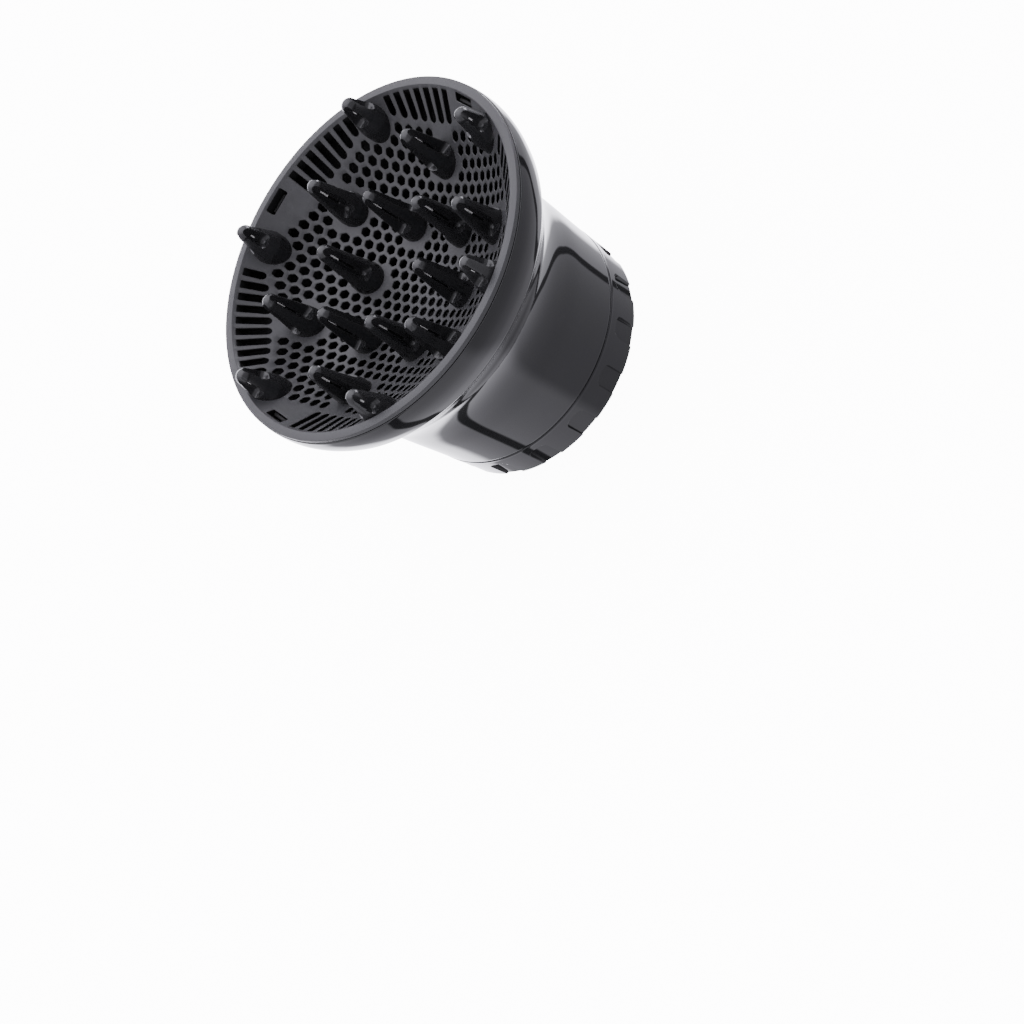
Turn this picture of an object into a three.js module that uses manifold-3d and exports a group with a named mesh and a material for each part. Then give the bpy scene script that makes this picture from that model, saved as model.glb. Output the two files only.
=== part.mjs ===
// Universal hair-dryer diffuser, in millimetres, +Z up.
//
// The diffuser stands on the rear face of its grip ring, with the bowl facing up: the origin is the
// centre of that face and +Z runs along the axis, out of the bowl. A dryer's barrel enters from below.
// Turning the grip ring turns a scroll plate, whose six spiral tracks drive six jaws in or out.

import * as THREE from 'three';
import { mergeVertices } from 'three/addons/utils/BufferGeometryUtils.js';
import Module from 'manifold-3d';

const wasm = await Module();
wasm.setup();

// ---- Driving dimensions -------------------------------------------------------------------------

const BODY_LENGTH = 109.6; // rear face to the rim
const GAP = 0.3; // clearance between pieces that touch or slide
const OVERCUT = 1; // how far a cutter runs past the face that it opens
const OVERLAP = 1; // how far a solid runs into the one that it's joined to
const ROUND = 36; // facets round a large turned piece
const SMALL_ROUND = 10; // facets round a screw or a boss
const HOLE_ROUND = 8; // facets round a small hole

// Bowl plate: a dish that is part of a sphere, with a flat lip.
const DISH_DEPTH = 36;
const DISH_RADIUS = 104;
const DISH_EDGE = 76.8;
const DISH_STEPS = 6;
const PLATE_THICKNESS = 1.4;
const LIP_INNER = 78.8;
const LIP_OUTER = 82.4;
const LIP_THICKNESS = 2.1;
const SKIRT_OUTER = 80.2;
const SKIRT_DEPTH = 5.5;
const SKIRT_INNER = 78.6;

// Radial air slots round the dish. Their inner ends lie on a hexagon, one of whose sides faces 15 degrees.
const SLOT_WIDTH = 3.5;
const SLOT_OUTER = 77.6;
const SLOT_HEXAGON = 66.3;
const HEXAGON_START_DEG = 15;
const HEXAGON_STEP_DEG = 60;
const SLOT_PITCH_DEG = 4.35;
const LONG_GROUP = 10;
const SHORT_GROUP = 7;
const SLOT_GROUPS = [
  { centre: 23.2, count: SHORT_GROUP },
  { centre: 66.8, count: SHORT_GROUP },
  { centre: 135, count: LONG_GROUP },
  { centre: 203.2, count: SHORT_GROUP },
  { centre: 246.8, count: SHORT_GROUP },
  { centre: 315, count: LONG_GROUP },
];

// Latch windows in the dish, and the shell's hooks that hold them.
const LATCH_COUNT = 4;
const WINDOW = { inner: 74.9, outer: 77.7, width: 11.6, depth: 14 };
const HOOK = { inner: 75.6, outer: 81.5, width: 9, low: 9.2, top: 7.2, tooth: 1.4, toothTop: 4.2 };

// Fingers: three rings of six. tip is the height of the tip over the rim.
const FINGERS_PER_RING = 6;
const FINGER_RINGS = [
  { name: 'inner', radius: 31, start: 45, tip: -0.2 },
  { name: 'middle', radius: 53.5, start: 15, tip: 5.3 },
  { name: 'outer', radius: 72, start: 45, tip: 12 },
];
const FINGER_FACETS = 9;
const FINGER_TIP_RADIUS = 3.7;
const FINGER_DOME = [[1, 0.9], [0.7, 0.27], [0, 0]]; // [radius, depth under the tip], in tip radii
const FINGER_FOOT_RADIUS = 7.4;
const FINGER_FOOT_HEIGHT = 0.8; // upright part of the foot
const FINGER_STEM_RADIUS = 4.4;
const FINGER_STEM_DEPTH = 5;
const FINGER_BORE = { foot: 3.4, top: 2.2, roof: 4 };
const FINGER_VENT = { count: 3, start: 60, width: 1.8, low: 0.34, margin: 5.4 };

// Outer shell: its neck, then [radius, height] of the horn, outside and inside.
const NECK = { inner: 49.6, outer: 52.8, foot: 13.8, top: 20.3 };
const SHELL_FOOT = 17.8;
const SHELL_TOP = BODY_LENGTH - LIP_THICKNESS - GAP;
const SHELL_OUTSIDE = [
  [57.2, SHELL_FOOT],
  [58.1, 27.6],
  [59.4, 41.6],
  [60.7, 55.6],
  [64.2, 67.6],
  [69.3, 77.6],
  [74.6, 85.6],
  [79, 89.6],
  [81.6, 94.6],
  [83, 101.6],
  [82.8, SHELL_TOP],
];
const SHELL_INSIDE = [
  [80.5, SHELL_TOP],
  [80.5, 100.6],
  [76.6, 92.2],
  [71.8, 87.5],
  [66.2, 79],
  [61, 68],
  [57.8, 55.6],
  [54.9, NECK.top],
];
const NECK_GROOVE = { bottom: 51.4, low: 14.3, high: 16.1 };
const BOSS = { count: 6, start: 30, circle: 47.5, radius: 3.5, foot: 13.8, top: 28, bore: 1.5 };

// Grip ring and scroll plate.
const COLLAR_LENGTH = 17.5;
const COLLAR_REAR_RADIUS = 56;
const COLLAR_FRONT_RADIUS = 57.2;
const COLLAR_BORE = 53.4;
const COLLAR_GROOVE = 54.6;
const COLLAR_FLOOR = 1.6;
const COLLAR_MOUTH = 34.4;
const COLLAR_EDGE = 0.7;
const RECESS = { count: 16, start: 8.2, floor: 55.1, width: 9.2, length: 12.8, corner: 3 };
const SCROLL = { inner: 34.8, outer: 53, low: 1.9, high: 4.5 };
const KEY = { count: 4, start: 15, inner: 51.5, width: 4, top: 4.2 };

// Jaws. The grip ring turns 30 degrees each way from rest, and moves each jaw 5 mm.
const JAW_COUNT = 6;
const JAW_REACH = 28; // radius of the pads' faces at rest
const JAW_TRAVEL = 5;
const COLLAR_TURN = THREE.MathUtils.degToRad(30);
const SCROLL_PITCH = JAW_TRAVEL / COLLAR_TURN; // mm of jaw travel for each radian
const JAW = { width: 15.8, low: 4.8, footTop: 10.7, top: 23.4, wall: 2.6, length: 18.8 };
const PAD = { thickness: 2.2, width: 15, low: 6, top: 22.9 };
const PIN = { radius: 2, offset: 15.6, low: 2.1 };
const TRACK_MARGIN = THREE.MathUtils.degToRad(5);
const TRACK_STEPS = 10;

// Guide plate, snap ring, nozzle stop and seal.
const GUIDE = { inner: 35, roofInner: 38.6, outer: 52.8, low: 4.9, roof: 11, high: 13.5 };
const SNAP_RING = { inner: 51.9, outer: 54.1, low: 14.6, high: 15.8, openingDeg: 12 };
const STOP = { inner: 21, outer: 54.2, low: 28.3, high: 30.5 };
const SEAL = { inner: 21.5, outer: 36, low: 26.3, high: 28 };

// Pan-head screws.
const SCREW = { headRadius: 2.7, headHeight: 1.7, shankRadius: 1.2, hole: 1.6 };
const GUIDE_SCREW_TIP = 21;
const STOP_SCREW_COUNT = 3;
const STOP_SCREW_TIP = 23.5;

// ---- Materials ----------------------------------------------------------------------------------

function finish(color, roughness, metalness = 0) {
  return new THREE.MeshStandardMaterial({ color, roughness, metalness });
}

const GLOSS_BLACK = finish(0x0b0b0c, 0.12);
const SATIN_GREY = finish(0x2a2b2d, 0.5);
const FINGER_BLACK = finish(0x101011, 0.28);
const NYLON_BLACK = finish(0x1b1b1d, 0.55);
const RUBBER_BLACK = finish(0x18181a, 0.85);
const ZINC_STEEL = finish(0xb9bcc0, 0.35, 1);
const SPRING_STEEL = finish(0x8d9094, 0.3, 1);

// ---- Making and joining solids ------------------------------------------------------------------

function solidOf(geometry) {
  geometry.deleteAttribute('normal');
  geometry.deleteAttribute('uv');
  const merged = mergeVertices(geometry);
  const corners = merged.index.array;
  const kept = [];
  for (let i = 0; i < corners.length; i += 3) {
    const [a, b, c] = corners.slice(i, i + 3);
    if (a !== b && b !== c && c !== a) kept.push(a, b, c);
  }
  const vertProperties = new Float32Array(merged.attributes.position.array);
  const triVerts = new Uint32Array(kept);
  return new wasm.Manifold(new wasm.Mesh({ numProp: 3, vertProperties, triVerts }));
}

function turned(profile, segments = ROUND) {
  const points = profile.map(([radius, height]) => new THREE.Vector2(radius, height));
  return solidOf(new THREE.LatheGeometry(points, segments).rotateX(Math.PI / 2));
}

function turnedRing(profile, segments = ROUND) {
  return turned([...profile, profile[0]], segments);
}

function washer(inner, outer, low, high, segments = ROUND) {
  return turnedRing([[inner, low], [outer, low], [outer, high], [inner, high]], segments);
}

function outline(points) {
  return new THREE.Shape(points.map(([x, y]) => new THREE.Vector2(x, y)));
}

function raised(shape, low, high, curveSegments = 6) {
  const options = { depth: high - low, bevelEnabled: false, curveSegments };
  return new THREE.ExtrudeGeometry(shape, options).translate(0, 0, low);
}

// An upright cylinder, its axis at a distance x from the diffuser's axis.
function post(radius, low, high, x, segments = SMALL_ROUND) {
  const cylinder = new THREE.CylinderGeometry(radius, radius, high - low, segments);
  return cylinder.rotateX(Math.PI / 2).translate(x, 0, (low + high) / 2);
}

// A box between two distances from the axis, its width centred on the X axis.
function block(inner, outer, width, low, high) {
  const box = new THREE.BoxGeometry(outer - inner, width, high - low);
  return box.translate((inner + outer) / 2, 0, (low + high) / 2);
}

// Angles, in radians, of count features spread evenly round the axis.
function anglesRound(count, startDeg = 0) {
  const step = 360 / count;
  return Array.from({ length: count }, (_, i) => THREE.MathUtils.degToRad(startDeg + i * step));
}

// One solid made of copies of a geometry, turned to each of the angles.
function copiesRound(geometry, angles) {
  return angles
    .map((angle) => solidOf(geometry.clone().rotateZ(angle)))
    .reduce((all, one) => all.add(one));
}

function meshOf(name, solid, material) {
  const { vertProperties, triVerts } = solid.getMesh();
  const geometry = new THREE.BufferGeometry();
  geometry.setAttribute('position', new THREE.BufferAttribute(vertProperties, 3));
  geometry.setIndex(new THREE.BufferAttribute(triVerts, 1));
  geometry.computeVertexNormals();
  const mesh = new THREE.Mesh(geometry, material);
  mesh.name = name;
  return mesh;
}

// Numbered copies of one piece, each turned to its own angle about the axis.
function piecesRound(name, solid, material, angles) {
  return angles.map((angle, i) => {
    const mesh = meshOf(`${name}_${i + 1}`, solid, material);
    mesh.rotation.z = angle;
    return mesh;
  });
}

// ---- Bowl plate ---------------------------------------------------------------------------------

// Height of the dish at a radius. A positive lift raises the surface, a negative one lowers it.
function dishHeight(radius, lift = 0) {
  const centre = BODY_LENGTH - DISH_DEPTH + DISH_RADIUS;
  return centre - Math.sqrt((DISH_RADIUS - lift) ** 2 - radius ** 2);
}

// Points along the dish from its centre to its edge.
function dishArc(lift) {
  return Array.from({ length: DISH_STEPS + 1 }, (_, i) => {
    const radius = (DISH_EDGE * i) / DISH_STEPS;
    return [radius, dishHeight(radius, lift)];
  });
}

function plateBlank() {
  const lip = BODY_LENGTH;
  const rim = [
    [SKIRT_INNER, lip - SKIRT_DEPTH],
    [SKIRT_OUTER, lip - SKIRT_DEPTH],
    [SKIRT_OUTER, lip - LIP_THICKNESS],
    [LIP_OUTER, lip - LIP_THICKNESS],
    [LIP_OUTER, lip],
    [LIP_INNER, lip],
  ];
  return turned([...dishArc(-PLATE_THICKNESS), ...rim, ...dishArc(0).reverse()]);
}

// A slot's outline: square at the dish's edge, round at its inner end.
function slotOutline(inner) {
  const half = SLOT_WIDTH / 2;
  const shape = new THREE.Shape();
  shape.moveTo(SLOT_OUTER, -half);
  shape.lineTo(SLOT_OUTER, half);
  shape.lineTo(inner + half, half);
  shape.absarc(inner + half, 0, half, Math.PI / 2, (3 * Math.PI) / 2, false);
  return shape;
}

// Distance from the axis to the hexagon's nearest side, in the direction of an angle.
function hexagonRadius(angleDeg) {
  const sides = Math.round((angleDeg - HEXAGON_START_DEG) / HEXAGON_STEP_DEG);
  const fromSide = angleDeg - HEXAGON_START_DEG - sides * HEXAGON_STEP_DEG;
  return SLOT_HEXAGON / Math.cos(THREE.MathUtils.degToRad(fromSide));
}

function slotGroup({ centre, count }) {
  const low = BODY_LENGTH - DISH_DEPTH;
  const cutters = [];
  for (let i = 0; i < count; i += 1) {
    const angleDeg = centre + (i - (count - 1) / 2) * SLOT_PITCH_DEG;
    const slot = raised(slotOutline(hexagonRadius(angleDeg)), low, BODY_LENGTH + OVERCUT, 2);
    cutters.push(solidOf(slot.rotateZ(THREE.MathUtils.degToRad(angleDeg))));
  }
  return cutters.reduce((all, one) => all.add(one));
}

function bowlPlate() {
  let plate = plateBlank();
  for (const group of SLOT_GROUPS) plate = plate.subtract(slotGroup(group));
  const top = BODY_LENGTH + OVERCUT;
  const window = block(WINDOW.inner, WINDOW.outer, WINDOW.width, top - WINDOW.depth, top);
  plate = plate.subtract(copiesRound(window, anglesRound(LATCH_COUNT)));
  for (const ring of FINGER_RINGS) {
    const seat = post(FINGER_STEM_RADIUS + GAP, 0, top, ring.radius);
    plate = plate.subtract(copiesRound(seat, anglesRound(FINGERS_PER_RING, ring.start)));
  }
  return meshOf('bowl_plate', plate, SATIN_GREY);
}

// ---- Fingers ------------------------------------------------------------------------------------

// Everything below the plate's upper face, with the gap that a finger keeps to it.
function underPlate() {
  const lip = BODY_LENGTH + GAP;
  const outside = [[0, 0], [LIP_OUTER, 0], [LIP_OUTER, lip], [LIP_INNER - GAP, lip]];
  return turned([...outside, ...dishArc(GAP).reverse()]);
}

// Turned about a vertical axis through the finger: an upright foot, a taper and a domed tip.
function fingerBlank(foot, tip) {
  const r = FINGER_TIP_RADIUS;
  const low = foot - 2 * FINGER_STEM_DEPTH;
  const profile = [
    [0, low],
    [FINGER_FOOT_RADIUS, low],
    [FINGER_FOOT_RADIUS, foot + FINGER_FOOT_HEIGHT],
    ...FINGER_DOME.map(([out, down]) => [out * r, tip - down * r]),
  ];
  return turned(profile, FINGER_FACETS);
}

function fingerVents(foot, tip) {
  const low = foot + FINGER_VENT.low * (tip - foot);
  const vent = block(0, FINGER_FOOT_RADIUS, FINGER_VENT.width, low, tip - FINGER_VENT.margin);
  return copiesRound(vent, anglesRound(FINGER_VENT.count, FINGER_VENT.start));
}

// A finger stands upright on the sloping dish, its stem in the dish's hole, and is hollow from below.
function finger({ radius, tip }) {
  const foot = dishHeight(radius);
  const top = BODY_LENGTH + tip;
  const stemFoot = foot - FINGER_STEM_DEPTH;
  const boreTop = top - FINGER_BORE.roof;
  const boreLength = boreTop - stemFoot + OVERCUT;
  const { top: boreTip, foot: boreFoot } = FINGER_BORE;
  const bore = new THREE.CylinderGeometry(boreTip, boreFoot, boreLength, FINGER_FACETS);
  bore.rotateX(Math.PI / 2).translate(radius, 0, boreTop - boreLength / 2);
  return fingerBlank(foot, top)
    .translate([radius, 0, 0])
    .subtract(underPlate())
    .add(solidOf(post(FINGER_STEM_RADIUS, stemFoot, foot + OVERLAP, radius)))
    .subtract(solidOf(bore))
    .subtract(fingerVents(foot, top).translate([radius, 0, 0]));
}

function fingers() {
  return FINGER_RINGS.flatMap((ring) => {
    const angles = anglesRound(FINGERS_PER_RING, ring.start);
    return piecesRound(`finger_${ring.name}`, finger(ring), FINGER_BLACK, angles);
  });
}

// ---- Outer shell --------------------------------------------------------------------------------

function shellBlank() {
  const neck = [
    [NECK.inner, NECK.top],
    [NECK.inner, NECK.foot],
    [NECK.outer, NECK.foot],
    [NECK.outer, NECK_GROOVE.low],
    [NECK_GROOVE.bottom, NECK_GROOVE.low],
    [NECK_GROOVE.bottom, NECK_GROOVE.high],
    [NECK.outer, NECK_GROOVE.high],
    [NECK.outer, SHELL_FOOT],
  ];
  return turnedRing([...neck, ...SHELL_OUTSIDE, ...SHELL_INSIDE]);
}

function shellHooks() {
  const { inner, outer, width, low, top, tooth, toothTop } = HOOK;
  const arm = block(inner, outer, width, BODY_LENGTH - low, BODY_LENGTH - top);
  const point = block(inner, inner + tooth, width, BODY_LENGTH - low, BODY_LENGTH - toothTop);
  const angles = anglesRound(LATCH_COUNT);
  return copiesRound(arm, angles).add(copiesRound(point, angles));
}

function outerShell() {
  const angles = anglesRound(BOSS.count, BOSS.start);
  const bosses = copiesRound(post(BOSS.radius, BOSS.foot, BOSS.top, BOSS.circle), angles);
  const low = BOSS.foot - OVERCUT;
  const lower = post(BOSS.bore, low, GUIDE_SCREW_TIP + GAP, BOSS.circle, HOLE_ROUND);
  const high = BOSS.top + OVERCUT;
  const upper = post(BOSS.bore, STOP_SCREW_TIP - GAP, high, BOSS.circle, HOLE_ROUND);
  const stopAngles = anglesRound(STOP_SCREW_COUNT, BOSS.start);
  const shell = shellBlank()
    .add(bosses)
    .add(shellHooks())
    .subtract(copiesRound(lower, angles))
    .subtract(copiesRound(upper, stopAngles));
  return meshOf('outer_shell', shell, GLOSS_BLACK);
}

// ---- Nozzle stop, seal, guide plate, snap ring and screws ---------------------------------------

function nozzleStop() {
  const [low, high] = [STOP.low - OVERCUT, STOP.high + OVERCUT];
  const hole = post(SCREW.hole, low, high, BOSS.circle, HOLE_ROUND);
  const holes = copiesRound(hole, anglesRound(STOP_SCREW_COUNT, BOSS.start));
  const stop = washer(STOP.inner, STOP.outer, STOP.low, STOP.high).subtract(holes);
  return meshOf('nozzle_stop', stop, NYLON_BLACK);
}

function stopSeal() {
  return meshOf('stop_seal', washer(SEAL.inner, SEAL.outer, SEAL.low, SEAL.high), RUBBER_BLACK);
}

// A disc with a radial channel for each jaw. The channels' roof stops short, to let the jaws open.
function guidePlate() {
  const walls = washer(GUIDE.inner, GUIDE.outer, GUIDE.low, GUIDE.roof);
  const low = GUIDE.low - OVERCUT;
  const channel = block(0, GUIDE.outer + OVERCUT, JAW.width + 2 * GAP, low, GUIDE.roof);
  const roof = washer(GUIDE.roofInner, GUIDE.outer, GUIDE.roof, GUIDE.high);
  const headSeat = GUIDE.low + SCREW.headHeight + GAP;
  const head = post(SCREW.headRadius + GAP, low, headSeat, BOSS.circle);
  const hole = post(SCREW.hole, low, GUIDE.high + OVERCUT, BOSS.circle, HOLE_ROUND);
  const screwAngles = anglesRound(BOSS.count, BOSS.start);
  const plate = walls
    .subtract(copiesRound(channel, anglesRound(JAW_COUNT)))
    .add(roof)
    .subtract(copiesRound(head, screwAngles))
    .subtract(copiesRound(hole, screwAngles));
  return meshOf('guide_plate', plate, NYLON_BLACK);
}

function snapRing() {
  const half = THREE.MathUtils.degToRad(SNAP_RING.openingDeg / 2);
  const shape = new THREE.Shape();
  shape.absarc(0, 0, SNAP_RING.outer, half, 2 * Math.PI - half, false);
  shape.absarc(0, 0, SNAP_RING.inner, 2 * Math.PI - half, half, true);
  const ring = raised(shape, SNAP_RING.low, SNAP_RING.high, ROUND / 2);
  return meshOf('snap_ring', solidOf(ring), SPRING_STEEL);
}

// A screw at a radius, its head at headZ and its tip at tipZ, whichever is higher.
function screw(headZ, tipZ) {
  const up = Math.sign(tipZ - headZ);
  const under = headZ + up * SCREW.headHeight;
  const head = post(SCREW.headRadius, Math.min(headZ, under), Math.max(headZ, under), BOSS.circle);
  const root = headZ + up * OVERLAP;
  const [low, high] = [Math.min(root, tipZ), Math.max(root, tipZ)];
  const shank = post(SCREW.shankRadius, low, high, BOSS.circle, HOLE_ROUND);
  return solidOf(head).add(solidOf(shank));
}

function guideScrews() {
  const solid = screw(GUIDE.low, GUIDE_SCREW_TIP);
  return piecesRound('guide_screw', solid, ZINC_STEEL, anglesRound(BOSS.count, BOSS.start));
}

function stopScrews() {
  const solid = screw(STOP.high + GAP + SCREW.headHeight, STOP_SCREW_TIP);
  return piecesRound('stop_screw', solid, ZINC_STEEL, anglesRound(STOP_SCREW_COUNT, BOSS.start));
}

// ---- Grip ring and scroll plate -----------------------------------------------------------------

function gripBlank() {
  return turnedRing([
    [COLLAR_MOUTH, 0],
    [COLLAR_REAR_RADIUS - COLLAR_EDGE, 0],
    [COLLAR_REAR_RADIUS, COLLAR_EDGE],
    [COLLAR_FRONT_RADIUS, COLLAR_LENGTH],
    [COLLAR_BORE, COLLAR_LENGTH],
    [COLLAR_BORE, NECK_GROOVE.high],
    [COLLAR_GROOVE, NECK_GROOVE.high],
    [COLLAR_GROOVE, NECK_GROOVE.low],
    [COLLAR_BORE, NECK_GROOVE.low],
    [COLLAR_BORE, COLLAR_FLOOR],
    [COLLAR_MOUTH, COLLAR_FLOOR],
  ]);
}

// A finger recess: open at the rear edge, with two round corners in front.
function recessCutter() {
  const half = RECESS.width / 2;
  const { length, corner } = RECESS;
  const shape = new THREE.Shape();
  shape.moveTo(-half, -OVERCUT);
  shape.lineTo(half, -OVERCUT);
  shape.lineTo(half, length - corner);
  shape.absarc(half - corner, length - corner, corner, 0, Math.PI / 2, false);
  shape.absarc(corner - half, length - corner, corner, Math.PI / 2, Math.PI, false);
  const cutter = raised(shape, RECESS.floor, COLLAR_FRONT_RADIUS + OVERCUT, 2);
  return cutter.rotateX(Math.PI / 2).rotateZ(Math.PI / 2);
}

function gripRing() {
  const recesses = copiesRound(recessCutter(), anglesRound(RECESS.count, RECESS.start));
  const [foot, root] = [COLLAR_FLOOR - OVERLAP, COLLAR_BORE + OVERLAP];
  const key = block(KEY.inner, root, KEY.width, foot, KEY.top);
  const ring = gripBlank()
    .add(copiesRound(key, anglesRound(KEY.count, KEY.start)))
    .subtract(recesses);
  return meshOf('grip_ring', ring, GLOSS_BLACK);
}

// One spiral track, centred on a jaw at rest. Its radius grows evenly with the angle.
function trackCutter() {
  const reach = COLLAR_TURN + TRACK_MARGIN;
  const halfWidth = PIN.radius + GAP;
  const side = (offset) =>
    Array.from({ length: TRACK_STEPS + 1 }, (_, i) => {
      const angle = reach * ((2 * i) / TRACK_STEPS - 1);
      const radius = JAW_REACH + PIN.offset + SCROLL_PITCH * angle + offset;
      return [radius * Math.cos(angle), radius * Math.sin(angle)];
    });
  const shape = outline([...side(halfWidth), ...side(-halfWidth).reverse()]);
  return raised(shape, SCROLL.low - OVERCUT, SCROLL.high + OVERCUT);
}

function camRing() {
  const [low, high] = [SCROLL.low - OVERCUT, SCROLL.high + OVERCUT];
  const width = KEY.width + 2 * GAP;
  const notch = block(KEY.inner - GAP, SCROLL.outer + OVERCUT, width, low, high);
  const ring = washer(SCROLL.inner, SCROLL.outer, SCROLL.low, SCROLL.high)
    .subtract(copiesRound(trackCutter(), anglesRound(JAW_COUNT)))
    .subtract(copiesRound(notch, anglesRound(KEY.count, KEY.start)));
  return meshOf('cam_ring', ring, NYLON_BLACK);
}

// ---- Jaws and pads ------------------------------------------------------------------------------

// Outline of a curved strip between two radii, cut off at half a width each side.
function strip(inner, outer, width) {
  const half = width / 2;
  const innerAngle = Math.asin(half / inner);
  const outerAngle = Math.asin(half / outer);
  const shape = new THREE.Shape();
  shape.absarc(0, 0, outer, -outerAngle, outerAngle, false);
  shape.absarc(0, 0, inner, innerAngle, -innerAngle, true);
  return shape;
}

// An upright wall that carries the pad, a foot that slides in its channel and a pin under the foot.
function jaw() {
  const inner = JAW_REACH + PAD.thickness + GAP;
  const wall = raised(strip(inner, inner + JAW.wall, JAW.width), JAW.low, JAW.top);
  const foot = block(inner + OVERLAP, JAW_REACH + JAW.length, JAW.width, JAW.low, JAW.footTop);
  const pin = post(PIN.radius, PIN.low, JAW.low + OVERLAP, JAW_REACH + PIN.offset);
  return solidOf(wall).add(solidOf(foot)).add(solidOf(pin));
}

function jaws() {
  return piecesRound('jaw', jaw(), NYLON_BLACK, anglesRound(JAW_COUNT));
}

function jawPads() {
  const shape = strip(JAW_REACH, JAW_REACH + PAD.thickness, PAD.width);
  const pad = solidOf(raised(shape, PAD.low, PAD.top));
  return piecesRound('jaw_pad', pad, RUBBER_BLACK, anglesRound(JAW_COUNT));
}

// ---- The whole diffuser -------------------------------------------------------------------------

const diffuser = new THREE.Group();
diffuser.add(outerShell(), bowlPlate(), ...fingers());
diffuser.add(nozzleStop(), stopSeal(), guidePlate(), snapRing(), ...guideScrews(), ...stopScrews());
diffuser.add(gripRing(), camRing(), ...jaws(), ...jawPads());

export default diffuser;
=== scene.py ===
import math

import bmesh
import bpy
import numpy as np
from mathutils import Matrix, Vector
from mathutils.geometry import delaunay_2d_cdt


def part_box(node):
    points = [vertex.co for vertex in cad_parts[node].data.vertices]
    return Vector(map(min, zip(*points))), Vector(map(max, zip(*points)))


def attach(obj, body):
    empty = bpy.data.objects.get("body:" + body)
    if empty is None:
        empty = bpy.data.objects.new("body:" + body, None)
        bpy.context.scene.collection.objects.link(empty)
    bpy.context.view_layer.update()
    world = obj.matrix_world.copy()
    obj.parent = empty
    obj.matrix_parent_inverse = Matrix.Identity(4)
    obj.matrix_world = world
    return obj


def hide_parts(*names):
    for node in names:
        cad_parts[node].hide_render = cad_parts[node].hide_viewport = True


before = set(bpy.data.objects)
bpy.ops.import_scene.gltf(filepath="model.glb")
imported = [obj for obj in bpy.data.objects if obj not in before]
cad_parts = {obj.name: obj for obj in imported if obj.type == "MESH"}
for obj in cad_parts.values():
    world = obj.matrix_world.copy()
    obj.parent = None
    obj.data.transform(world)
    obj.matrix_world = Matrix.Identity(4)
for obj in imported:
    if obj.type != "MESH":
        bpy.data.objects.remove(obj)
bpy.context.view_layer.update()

MM = 0.001
WELD = 1e-6  # vertices closer than this, in metres, are one
CLOSE = 1e-5  # points of a flat outline closer than this, in millimetres, are one


def low_corner(node):
    """The lowest x, y and z that a CAD node reaches."""
    return np.array(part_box(node)[0]) / MM


def high_corner(node):
    """The highest x, y and z that a CAD node reaches."""
    return np.array(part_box(node)[1]) / MM


def highest_point(node):
    """The highest vertex of a CAD node: for a finger, the point on its own axis."""
    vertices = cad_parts[node].data.vertices
    return np.array(max((v.co for v in vertices), key=lambda co: co.z)) / MM


# ---- Driving dimensions ------------------------------------------------------------------------------

ROUND = 240  # segments round a large turned piece
SMALL_ROUND = 160  # and round a smaller one
BODY_LENGTH = high_corner("bowl_plate")[2]
LIP_OUTER = high_corner("bowl_plate")[0]
COLLAR_LENGTH = high_corner("grip_ring")[2]
FINGER_RINGS = ("inner", "middle", "outer")
PER_RING = 6
JAW_COUNT = 6

# Bowl plate.
DISH_DEPTH = 36
DISH_RADIUS = 104  # of the sphere that the dish is part of
DISH_EDGE = 78.65  # radius where the dish meets the lip
PLATE_THICKNESS = 1.4
LIP_THICKNESS = 2.1
LIP_ROUNDING = 0.3
SKIRT = {"inner": 78.6, "outer": 80.2, "depth": 5.5}
HEX = {"pitch": 5.53, "reach": 13, "across": 3.75, "mouth": 4.2, "start": 45, "clear": 9.3, "rounding": 0.55}
SLOT = {"width": 3.5, "outer": 77.6, "hexagon": 66.3, "pitch": 4.35, "edge": 0.2}
# Each group of slots: the direction of its middle in degrees, and how many slots it has.
SLOT_GROUPS = ((23.2, 7), (66.8, 7), (135, 10), (203.2, 7), (246.8, 7), (315, 10))
WINDOW = {"inner": 74.9, "outer": 77.7, "width": 11.6}
SEAT_RADIUS = 4.6
EDGE_DEPTH = 0.25  # of the small slope at each hole's upper edge

# Fingers.
FINGER = {"foot": 7.4, "tip": 3.75, "upright": 0.8, "stem": 4.3, "stem_depth": 5, "buried": 0.35}
FLUTE = {"radius": 2.35, "centre": 4.5}
FLUTE_LEAST = math.radians(1.5)  # the flute's columns never close up more than this
FLUTE_ROOM = math.radians(16)  # a flute narrower than this squeezes the slit's columns
FLUTE_LEDGE = {"inner": 5.2, "middle": 3.9, "outer": 6.2}  # from the plate up to the flutes' lower ends
# The sixth value sets how far down from the slit's top the pale painted highlight runs; the rest of the slit
# floor gets near-black painted shade.
SLIT = {"inner": 9.6, "outer": 11.6, "depth": 0.5, "top": 5.2, "bottom": 2.6, "highlight_reach": 5.5, "slope": 0.5}

# Columns of a finger's surface from the middle of a flute outwards: in degrees over the slit, as shares of
# the flute's flank, in millimetres past its lip, and as shares of what is left before the next flute.
SLIT_COLUMNS = (0, 5, SLIT["inner"], 10.6, SLIT["outer"])
FLANK_SHARES = (0.14, 0.28, 0.42, 0.55, 0.67, 0.78, 0.87, 0.94, 1)
LIP_COLUMNS = (0.02, 0.3)
REST_SHARES = (0.25, 0.6, 1)
FINGER_ROWS = {"below": 7, "ball": 24, "above": 44, "dome": 15}
FLUTE_COUNT = 3

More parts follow.
